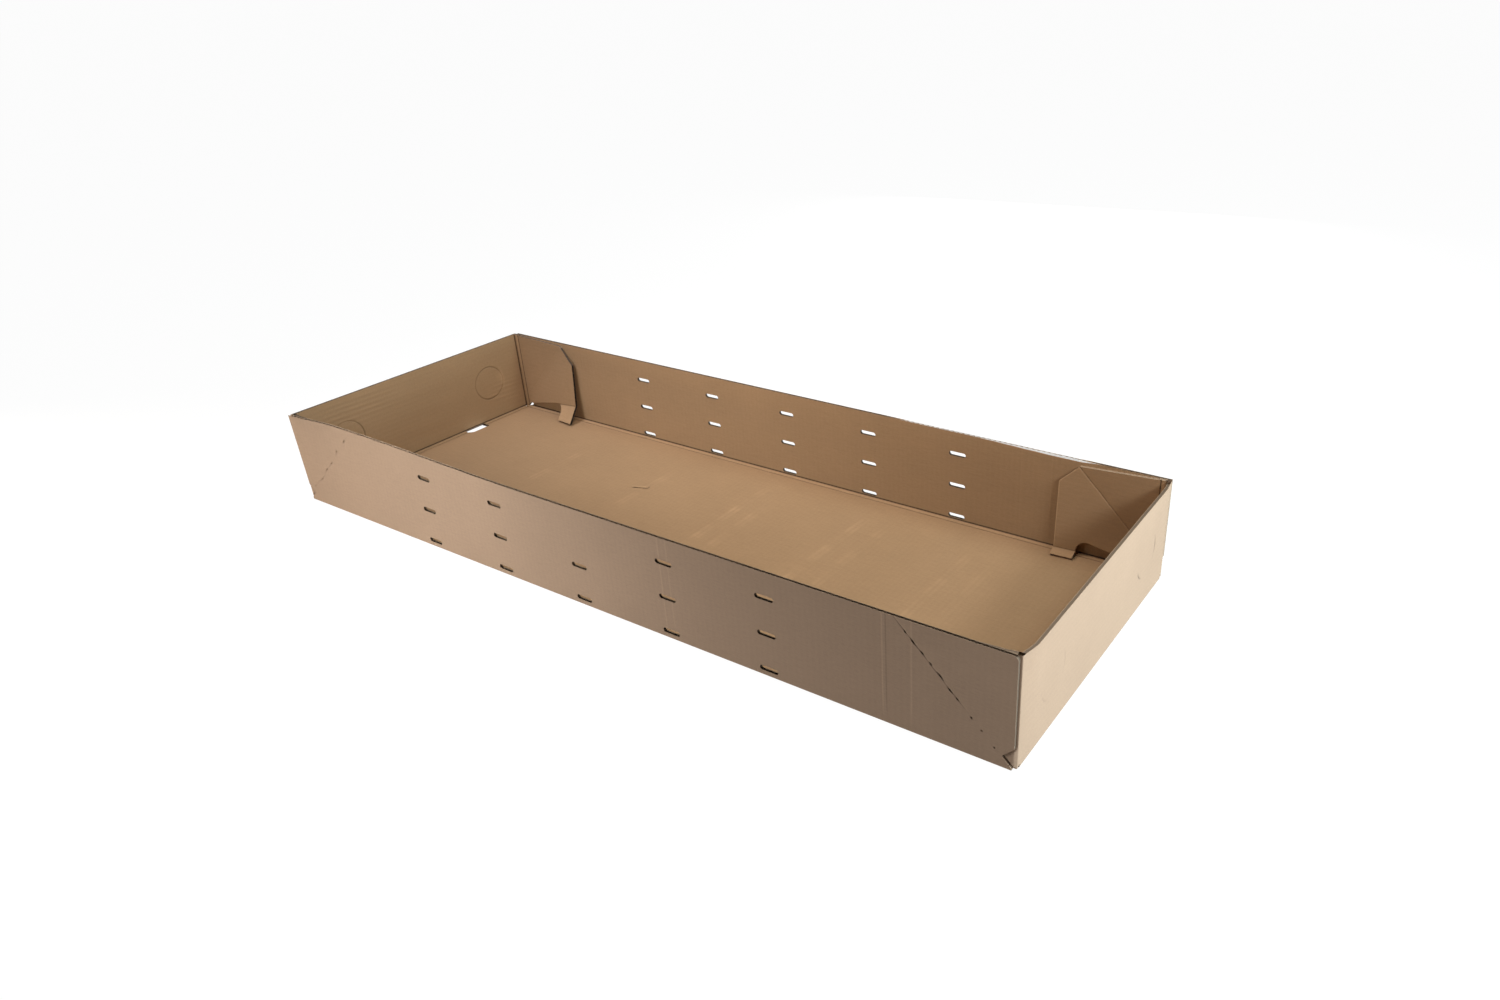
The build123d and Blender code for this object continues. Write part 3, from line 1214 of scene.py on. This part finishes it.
    def relief(self, flat: Array, side: Side) -> Array:
        """Groove of the diagonal crease on the inside.

        Args:
            flat: Points of the blank.
            side: Which face of the board.

        Returns:
            Heights out of the face, in millimetres.
        """
        out = super().relief(flat, side)
        if side is Side.INNER:
            show = 3.0 / self.soft_bend
            out -= show * 0.45 * ridge(self.below_diagonal(flat) - 0.7, 1.2) * ease((flat[:, 0] - 12) / 10)
        return out

    def tone(self, flat: Array, side: Side) -> Array:
        """Painted shade in the hinge's lines, the diagonal and the tongue crease, painted highlights beside the
        diagonal and on the tongue, and painted highlights on the free edges where they shine.

        Args:
            flat: Points of the blank.
            side: Which face of the board.

        Returns:
            How light the paper is painted, its painted shade and highlights included.
        """
        out = HINGE_CREASE.tone(flat[:, 0], side)
        if side is Side.INNER:
            below = self.below_diagonal(flat)
            show = 3.0 / self.soft_bend * ease((flat[:, 0] - 12) / 10)
            # Painted shade in the diagonal's groove and a painted highlight beside it
            out += show * (0.12 * ridge(below - 2.3, 1.0) - 0.4 * ridge(below - 0.7, 1.0))
            past = self.past_crease(flat[:, 0] - BOARD.rise(0.0), flat[:, 1])
            # Painted shade along the tongue's crease and a painted highlight on the tongue
            out += 0.12 * ease((past - 1.0) / 2.0) - 0.5 * ridge(past, 1.1)
            clip = Vector((self.clip_height, self.clip_length)).normalized()
            run = BOARD.rise(self.reach) - flat[:, 0]
            rise = flat[:, 1] - (BOARD.height - self.tip_drop - self.clip_height)
            side_edge = ridge(run, 1.5) * (past < 0)
            clip_edge = ridge(run * clip.x - rise * clip.y, 1.5) * (rise > 0)
            # Painted highlight along the free edge and the clip, on flaps that shine
            out += self.edge_shine * np.maximum(side_edge, clip_edge)
        return out


@dataclass(frozen=True)
class KraftFinish:
    """Kraft paper: its colour, mottling, fibres and specks, the flutes that show through it as bumps and as painted
    shade, and the painted light and shade of the tone attribute.
    """

    name: str
    colour: tuple[float, float, float]
    mottle: float = 0.1
    fibre: float = 0.11
    specks: float = 0.16
    # Height of the flutes' washboard in the bump; six tenths of it also lightens and darkens the colour as painted
    # shade
    washboard: float = 0.018
    roughness: float = 0.82
    # Bluish white toward which the colour turns where the tone passes the threshold below: a painted highlight
    highlight_white: tuple[float, float, float] = (0.0, 0.28, 0.5)
    highlight_white_from: float = 1.4

    def material(self) -> bpy.types.Material:
        """Makes the material.

        Returns:
            A procedural kraft paper.
        """
        made = bpy.data.materials.new(self.name)
        made.use_nodes = True
        tree = made.node_tree
        nodes, links = tree.nodes, tree.links
        shader = nodes["Principled BSDF"]
        shader.inputs["Specular IOR Level"].default_value = 0.25
        place = nodes.new("ShaderNodeTexCoord").outputs["Object"]
        cloud = self.noise(tree, place, (1, 1, 1), 9.0, 6.0, 0.62)
        grain = self.noise(tree, place, (1, 1, 1), 340.0, 4.0, 0.65)
        strands = self.noise(tree, place, (60, 900, 900), 1.0, 2.0, 0.6)
        dots = self.noise(tree, place, (1, 1, 1), 900.0, 1.0, 0.5)
        flute = nodes.new("ShaderNodeAttribute")
        flute.attribute_name = "flute_run"
        turns = self.combine(tree, "MULTIPLY", flute.outputs["Fac"], 2 * math.pi / (BOARD.flute_pitch * MM))
        wave = self.combine(tree, "SINE", turns, 0)
        # The tone attribute carries the painted shade and highlights of folds, grooves, scores, ripples and edges,
        # and the scuff
        pressed = nodes.new("ShaderNodeAttribute")
        pressed.attribute_name = "tone"
        speck = nodes.new("ShaderNodeMapRange")
        limits = {"From Min": 0.68, "From Max": 0.78, "To Min": 1.0, "To Max": 1.0 - self.specks}
        for name, value in limits.items():
            speck.inputs[name].default_value = value
        links.new(dots, speck.inputs["Value"])
        tone = pressed.outputs["Fac"]
        # Painted light and shade, times mottling, fibres, the washboard's painted shade and specks
        for factor in (
            self.spread(tree, cloud, self.mottle), self.spread(tree, grain, self.fibre),
            self.spread(tree, strands, self.fibre),
            self.combine(tree, "MULTIPLY_ADD", wave, self.washboard * 0.6, 1.0), speck.outputs["Result"],
        ):
            tone = self.combine(tree, "MULTIPLY", tone, factor)
        # Painted highlight: past the threshold the colour turns toward bluish white
        over = self.combine(tree, "SUBTRACT", pressed.outputs["Fac"], self.highlight_white_from)
        paper = nodes.new("ShaderNodeVectorMath")
        paper.operation = "ADD"
        for socket, colour, amount in zip(
            paper.inputs, (self.colour, self.highlight_white), (tone, self.combine(tree, "MAXIMUM", over, 0.0))
        ):
            tint = nodes.new("ShaderNodeVectorMath")
            tint.operation = "SCALE"
            tint.inputs[0].default_value = colour
            links.new(amount, tint.inputs["Scale"])
            links.new(tint.outputs["Vector"], socket)
        links.new(paper.outputs["Vector"], shader.inputs["Base Color"])
        rough = self.combine(tree, "MULTIPLY_ADD", grain, 0.12, self.roughness - 0.06)
        links.new(rough, shader.inputs["Roughness"])
        height = self.combine(tree, "MULTIPLY_ADD", wave, self.washboard, self.combine(tree, "MULTIPLY", grain, 0.05))
        height = self.combine(tree, "MULTIPLY_ADD", strands, 0.04, height)
        bump = nodes.new("ShaderNodeBump")
        bump.inputs["Strength"].default_value = 0.6
        bump.inputs["Distance"].default_value = MM
        links.new(height, bump.inputs["Height"])
        links.new(bump.outputs["Normal"], shader.inputs["Normal"])
        return made

    @staticmethod
    def noise(tree: Tree, place: Socket, stretch: tuple[float, float, float],
              scale: float, detail: float, rough: float) -> Socket:
        """Adds a noise on object coordinates.

        Args:
            tree: Material's nodes.
            place: Object coordinates.
            stretch: Scale along each axis.
            scale: Overall scale, per metre.
            detail: Octaves.
            rough: How strong the finer octaves are.

        Returns:
            Its value, about 0.5 in the mean.
        """
        mapping = tree.nodes.new("ShaderNodeMapping")
        mapping.inputs["Scale"].default_value = stretch
        tree.links.new(place, mapping.inputs["Vector"])
        made = tree.nodes.new("ShaderNodeTexNoise")
        made.inputs["Scale"].default_value = scale
        made.inputs["Detail"].default_value = detail
        made.inputs["Roughness"].default_value = rough
        tree.links.new(mapping.outputs["Vector"], made.inputs["Vector"])
        return made.outputs["Fac"]

    @staticmethod
    def combine(tree: Tree, kind: str, first: Socket, second: object,
                third: object = None) -> Socket:
        """Adds a math node.

        Args:
            tree: Material's nodes.
            kind: Its operation.
            first: First value.
            second: Second value, a socket or a number.
            third: Third value, for operations with three.

        Returns:
            The result.
        """
        node = tree.nodes.new("ShaderNodeMath")
        node.operation = kind
        for socket, value in zip(node.inputs, (first, second, third)):
            if isinstance(value, Socket):
                tree.links.new(value, socket)
            elif value is not None:
                socket.default_value = value
        return node.outputs["Value"]

    @classmethod
    def spread(cls, tree: Tree, value: Socket, amount: float) -> Socket:
        """Turns a noise into a factor around 1.

        Args:
            tree: Material's nodes.
            value: The noise.
            amount: How far the factor goes each way.

        Returns:
            The factor.
        """
        return cls.combine(tree, "MULTIPLY_ADD", value, 2 * amount, 1.0 - amount)


@dataclass(frozen=True)
class CutFace:
    """Places along a cut, or a line behind it, on the outer and the inner face of the board."""

    outer: Array
    inner: Array

    def at(self, share: Array | float) -> Array:
        """Places at a share of the board's thickness."""
        return self.outer + (self.inner - self.outer) * np.asarray(share).reshape(-1, 1)


@dataclass
class RawEdges:
    """Cut edges of the board: the lips of both liners and the fluting between them.

    The tones are those of the hollow, the lips' rim and the fluting: round a slot, and along other cuts, where each
    drops by its second value at the flutes' open ends; the darker hollow and that drop are painted shade. The fluting
    is sunk there by its second value more, and its rows at the back are painted darker, as painted shade.
    """

    step: float = 0.9
    long_step: float = 6.0
    deep: float = 7.0
    shallow: float = 0.15
    slot_deep: float = 2.2
    ragged: float = 0.12
    # Tones of the hollow, rim and fluting; the hollow's darkness and the drop at open flutes are painted shade
    slot_tones: tuple[float, float, float] = (0.2, 0.5, 0.4)
    cut_tones: tuple[Point, Point, Point] = ((0.55, 0.4), (1.0, 0.35), (0.9, 0.45))
    sunk: Point = (0.1, 0.25)
    # How much darker the fluting's back rows are painted: painted shade
    sunk_painted_shade: float = 0.6

    def resample(self, line: Array, closed: bool, panel: Panel) -> tuple[Array, Array]:
        """Divides a cut line finely enough to show each flute that it crosses.

        Args:
            line: Flat polyline with the board on its left.
            closed: Whether it is a loop.
            panel: Whose it is.

        Returns:
            Points along it and the direction into the board at each.
        """
        points = np.vstack([line, line[:1]]) if closed else line
        out, normals = [], []
        for first, last in zip(points[:-1], points[1:]):
            run = last - first
            length = float(np.hypot(*run))
            if length < 1e-6:
                continue
            runs = panel.flute_run(np.array([first, last]))
            crossed = abs(float(runs[1] - runs[0])) / length
            step = max(self.step, min(self.long_step, self.step / max(crossed, 0.05)))
            count = max(1, int(math.ceil(length / step)))
            normal = np.array([-run[1], run[0]]) / length
            shares = np.linspace(0, 1, count + 1)[: None if last is points[-1] else -1]
            out += [first + run * share for share in shares]
            normals += [normal] * len(shares)
        points, normals = np.array(out), np.array(normals)
        soft = normals + np.roll(normals, 1, 0) + np.roll(normals, -1, 0) if closed else normals.copy()
        if not closed and len(normals) > 2:
            soft[1:-1] = normals[1:-1] + normals[:-2] + normals[2:]
        soft /= np.linalg.norm(soft, axis=1)[:, None]
        return points, soft

    def strip(self, mesh: Mesh, rows: list[Array], tones: list[Array]) -> None:
        """Adds a strip of faces through rows of points.

        Args:
            mesh: Mesh that gets it.
            rows: Rows of places in millimetres, in order across the strip.
            tones: How light the paper is painted along each row, painted shade included.
        """
        count = len(rows[0])
        layer = mesh.verts.layers.float["tone"]
        made = bmesh.ops.create_grid(mesh, x_segments=count - 1, y_segments=len(rows) - 1, size=1.0)["verts"]
        for vert, spot, tone in zip(made, np.concatenate(rows) * MM, np.concatenate(tones)):
            vert.co = spot
            vert[layer] = tone

    def build(self, panels: list[Panel]) -> tuple[Mesh, Mesh]:
        """Builds the lips and the fluting along every cut line.

        Args:
            panels: The panels of the blank.

        Returns:
            Mesh of the liners' lips with the hollow behind them, and mesh of the fluting.
        """
        lips, waves = bmesh.new(), bmesh.new()
        for mesh in (lips, waves):
            mesh.verts.layers.float.new("tone")
        chance = np.random.default_rng(7)
        for panel in panels:
            for line, closed in panel.cut_lines():
                points, inward = self.resample(line, closed, panel)
                if len(points) > 1:
                    is_slot = closed and len(line) > 8
                    self.edge(panel, points, inward, is_slot, chance, lips, waves)
        return lips, waves

    def edge(self, panel: Panel, points: Array, inward: Array, is_slot: bool,
             chance: np.random.Generator, lips: Mesh, waves: Mesh) -> None:
        """Builds one cut edge: both lips with the hollow between them, and the wavy fluting in it.

        Args:
            panel: Whose edge it is.
            points: Flat points along the cut.
            inward: Direction into the board at each.
            is_slot: Whether it is a strap slot's.
            chance: Where the lips' raggedness comes from.
            lips: Mesh that gets the lips.
            waves: Mesh that gets the fluting.
        """
        runs = panel.flute_run(points)
        open_ends = 1 - np.clip(np.abs(panel.flute_run(points + inward) - runs) * 1.6, 0, 1)
        depth = self.shallow + (self.deep - self.shallow) * open_ends
        if is_slot:
            depth = np.full(len(points), self.slot_deep)
        behind = points + inward * depth[:, None]
        cut = CutFace(panel.place(points, Side.OUTER), panel.place(points, Side.INNER))
        back = CutFace(panel.place(behind, Side.OUTER), panel.place(behind, Side.INNER))
        fray = chance.normal(0, self.ragged, (2, len(points), 1)) * 0.5
        toward = cut.at(0.5) - back.at(0.5)
        toward /= np.linalg.norm(toward, axis=1)[:, None] + 1e-9
        lip = BOARD.liner / BOARD.thick
        near, far = (cut.at(at) + toward * np.minimum(f, 0) for at, f in zip((lip, 1 - lip), fray))
        # Painted highlight and shade of each cut, from its panel
        edge_painted_light = panel.edge_tone(points)
        levels = [(tone, 0.0) for tone in self.slot_tones] if is_slot else self.cut_tones
        hollow, rim, core = (edge_painted_light * (level - drop * open_ends) for level, drop in levels)
        tones = [rim, rim, hollow, hollow, rim, rim]
        self.strip(lips, [cut.outer, near, back.at(lip), back.at(1 - lip), far, cut.inner], tones)
        half = BOARD.fluting / BOARD.thick / 2
        swing = 0.5 - lip - half
        front, rear = (
            0.5 + swing * np.sin(run * 2 * math.pi / BOARD.flute_pitch) for run in (runs, panel.flute_run(behind))
        )
        sunk = -toward * (self.sunk[0] + self.sunk[1] * open_ends)[:, None]
        rows = [back.at(rear - half), cut.at(front - half) + sunk, cut.at(front + half) + sunk, back.at(rear + half)]
        self.strip(waves, rows, [core * self.sunk_painted_shade, core, core, core * self.sunk_painted_shade])


@dataclass
class Tray:
    """The whole tray: its panels, their two liners and the raw edges."""

    outer: KraftFinish = KraftFinish("outer_liner", (0.292, 0.2, 0.136))
    inner: KraftFinish = KraftFinish("inner_liner", (0.33, 0.209, 0.114))
    edge: KraftFinish = KraftFinish("cut_liner", (0.38, 0.275, 0.19), washboard=0.0)
    core: KraftFinish = KraftFinish("fluting_paper", (0.27, 0.18, 0.115), washboard=0.0)

    def panels(self) -> list[Panel]:
        """Lays out every panel of the blank.

        Returns:
            The floor with its walls, both ends and the four corner flaps.
        """
        made: list[Panel] = [Channel()]
        for sx in (-1, 1):
            made.append(EndWall(sign=sx))
            for sy in (-1, 1):
                if (sx, sy) == (-1, 1):
                    flap = CornerFlap(
                        sx=sx, sy=sy, foot=Foot.PROPPED, ear_lift=1.0, lower_rise=19.5, tongue_skew=0.26,
                        soft_bend=24.0, tip_drop=3.3, clip_length=27.8, clip_height=27.8, tongue_width=31.6,
                    )
                elif sy > 0:
                    flap = CornerFlap(sx=sx, sy=sy, crease_lift=3.5, edge_shine=0.4)
                else:
                    flap = CornerFlap(sx=sx, sy=sy, ear_bulge=2.7)
                made.append(flap)
        return made

    def build(self) -> list[bpy.types.Object]:
        """Builds and dresses the pieces.

        Returns:
            Both liners, the lips of the cut edges and the fluting.
        """
        panels = self.panels()
        pieces = []
        for side, finish in ((Side.OUTER, self.outer), (Side.INNER, self.inner)):
            whole = bmesh.new()
            whole.verts.layers.float.new("flute_run")
            whole.verts.layers.float.new("tone")
            for panel in panels:
                part = panel.sheet(side)
                keep = bpy.data.meshes.new(panel.name)
                part.to_mesh(keep)
                part.free()
                whole.from_mesh(keep)
                bpy.data.meshes.remove(keep)
            pieces.append(self.dress(whole, finish, math.radians(40)))
        lips, waves = RawEdges().build(panels)
        pieces.append(self.dress(lips, self.edge, math.radians(25)))
        pieces.append(self.dress(waves, self.core, math.radians(50)))
        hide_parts("folded_tray")
        return pieces

    def dress(self, mesh: Mesh, finish: KraftFinish, sharp: float) -> bpy.types.Object:
        """Turns a mesh into a piece with its finish.

        Args:
            mesh: Finished mesh in metres.
            finish: Its paper.
            sharp: Angle past which an edge stays sharp.

        Returns:
            The piece, riding on the tray.
        """
        data = bpy.data.meshes.new(finish.name)
        mesh.to_mesh(data)
        mesh.free()
        data.shade_smooth()
        data.set_sharp_from_angle(angle=sharp)
        data.materials.append(finish.material())
        piece = bpy.data.objects.new(finish.name, data)
        bpy.context.scene.collection.objects.link(piece)
        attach(piece, "root")
        log.info("%s: %d vertices, %d faces", piece.name, len(data.vertices), len(data.polygons))
        return piece


@dataclass(frozen=True)
class Lamp:
    """A soft rectangular lamp aimed at a point, in metres and watts."""

    name: str
    spot: tuple[float, float, float]
    aim: tuple[float, float, float]
    wide: float
    high: float
    watts: float
    colour: tuple[float, float, float] = (1.0, 1.0, 1.0)
    spread: float = 180.0

    def light(self) -> None:
        """Adds the lamp to the scene."""
        data = bpy.data.lights.new(self.name, "AREA")
        data.shape = "RECTANGLE"
        data.size, data.size_y = self.wide, self.high
        data.energy = self.watts
        data.color = self.colour
        data.spread = math.radians(self.spread)
        lamp = bpy.data.objects.new(self.name, data)
        lamp.location = self.spot
        toward = Vector(self.aim) - Vector(self.spot)
        lamp.rotation_euler = toward.to_track_quat("-Z", "Y").to_euler()
        bpy.context.scene.collection.objects.link(lamp)


@dataclass
class Studio:
    """Pale floor and backdrop, soft lamps and the camera that took the picture.

    The camera's focal length and centre are in pixels of the picture.
    """

    floor_half: float = 18.0
    backdrop_radius: float = 28.0
    floor_drop: float = 0.0003
    floor_tone: float = 0.1
    floor_glow: float = 0.97
    lamps: tuple[Lamp, ...] = (
        Lamp("right_softbox", (1.7, 0.25, 0.13), (0.55, 0.0, 0.06), 0.8, 0.2, 27.5, (0.773, 0.937, 1.0)),
        Lamp("right_overhead", (1.3, 0.5, 1.6), (0.3, 0.1, 0.0), 0.6, 0.6, 13.8, (0.82, 1.0, 1.0)),
        Lamp("middle_strip", (0.15, -0.05, 0.8), (0.2, 0.1, 0.0), 0.8, 0.14, 5.2, (1.0, 0.892, 0.812)),
        Lamp("right_strip", (1.15, -0.2, 0.62), (0.4, 0.15, 0.05), 0.4, 0.14, 4.4, (0.94, 0.974, 1.0)),
        Lamp("left_strip", (-0.6, -0.2, 1.0), (-0.45, 0.2, 0.05), 0.15, 0.14, 0.54, (0.91, 0.9, 1.0), 60.0),
        Lamp("front_grid", (-0.4, -0.95, 0.5), (-0.22, -0.2, 0.06), 0.5, 0.5, 0.975, (0.984, 1.0, 0.988), 50.0),
        Lamp("left_grid", (-1.5, -0.6, 0.11), (-0.57, -0.2, 0.06), 0.4, 0.2, 1.08, (1.0, 0.814, 0.611), 45.0),
        Lamp("back_softbox", (-0.3, 2.0, 0.09), (0.0, 0.2, 0.06), 0.8, 0.12, 16.0, (1.0, 0.96, 0.92)),
    )
    eye: tuple[float, float, float] = (0.85846, -0.91079, 0.6819)
    turn: tuple[float, float, float] = (62.81, 1.8017, 33.3858)
    focal: float = 1078.11
    centre: Point = (846.42, 496.06)
    picture: tuple[int, int] = (1500, 1000)

    def build(self) -> None:
        """Lays the floor and the backdrop, lights them and sets the camera.

        Only the camera sees the backdrop, so it adds no light.
        """
        scene = bpy.context.scene
        scene.view_settings.view_transform = "Standard"
        world = scene.world or bpy.data.worlds.new("studio")
        scene.world = world
        world.use_nodes = True
        sky = world.node_tree.nodes["Background"]
        sky.inputs["Color"].default_value = (1.0, 1.0, 1.0, 1.0)
        sky.inputs["Strength"].default_value = 0.0
        floor = bmesh.new()
        bmesh.ops.create_grid(floor, x_segments=1, y_segments=1, size=self.floor_half)
        bmesh.ops.translate(floor, verts=floor.verts, vec=(0.0, 0.0, -self.floor_drop))
        self.stand(floor, "studio_floor")
        dome = bmesh.new()
        bmesh.ops.create_uvsphere(dome, u_segments=48, v_segments=24, radius=self.backdrop_radius)
        bmesh.ops.reverse_faces(dome, faces=dome.faces)
        backdrop = self.stand(dome, "studio_backdrop")
        for ray in ("diffuse", "glossy", "transmission", "volume_scatter", "shadow"):
            setattr(backdrop, f"visible_{ray}", False)
        for lamp in self.lamps:
            lamp.light()
        self.camera()

    def stand(self, mesh: Mesh, name: str) -> bpy.types.Object:
        """Paints a pale glowing surface and puts it on the stage.

        Args:
            mesh: The surface, freed here.
            name: Its name.

        Returns:
            The surface's object.
        """
        data = bpy.data.meshes.new(name)
        mesh.to_mesh(data)
        mesh.free()
        paint = bpy.data.materials.new(name)
        paint.use_nodes = True
        shader = paint.node_tree.nodes["Principled BSDF"]
        shader.inputs["Base Color"].default_value = (self.floor_tone, self.floor_tone, self.floor_tone, 1.0)
        shader.inputs["Roughness"].default_value = 0.9
        shader.inputs["Specular IOR Level"].default_value = 0.1
        shader.inputs["Emission Color"].default_value = (1.0, 1.0, 1.0, 1.0)
        shader.inputs["Emission Strength"].default_value = self.floor_glow
        data.materials.append(paint)
        surface = bpy.data.objects.new(name, data)
        bpy.context.scene.collection.objects.link(surface)
        return surface

    def camera(self) -> None:
        """Adds the camera at the picture's place, turn, lens and framing."""
        wide, high = self.picture
        data = bpy.data.cameras.new("camera")
        data.sensor_width = 36.0
        data.lens = data.sensor_width * self.focal / wide
        data.shift_x = (wide / 2 - self.centre[0]) / wide
        data.shift_y = (self.centre[1] - high / 2) / wide
        data.clip_end = 200.0
        camera = bpy.data.objects.new("camera", data)
        camera.location = self.eye
        camera.rotation_euler = [math.radians(a) for a in self.turn]
        bpy.context.scene.collection.objects.link(camera)
        bpy.context.scene.camera = camera


def main() -> None:
    """Builds the tray and its studio, and reports each piece."""
    logging.basicConfig(level=logging.INFO)
    pieces = Tray().build()
    Studio().build()
    log.info("%d pieces", len(pieces))


if __name__ == "__main__":
    main()
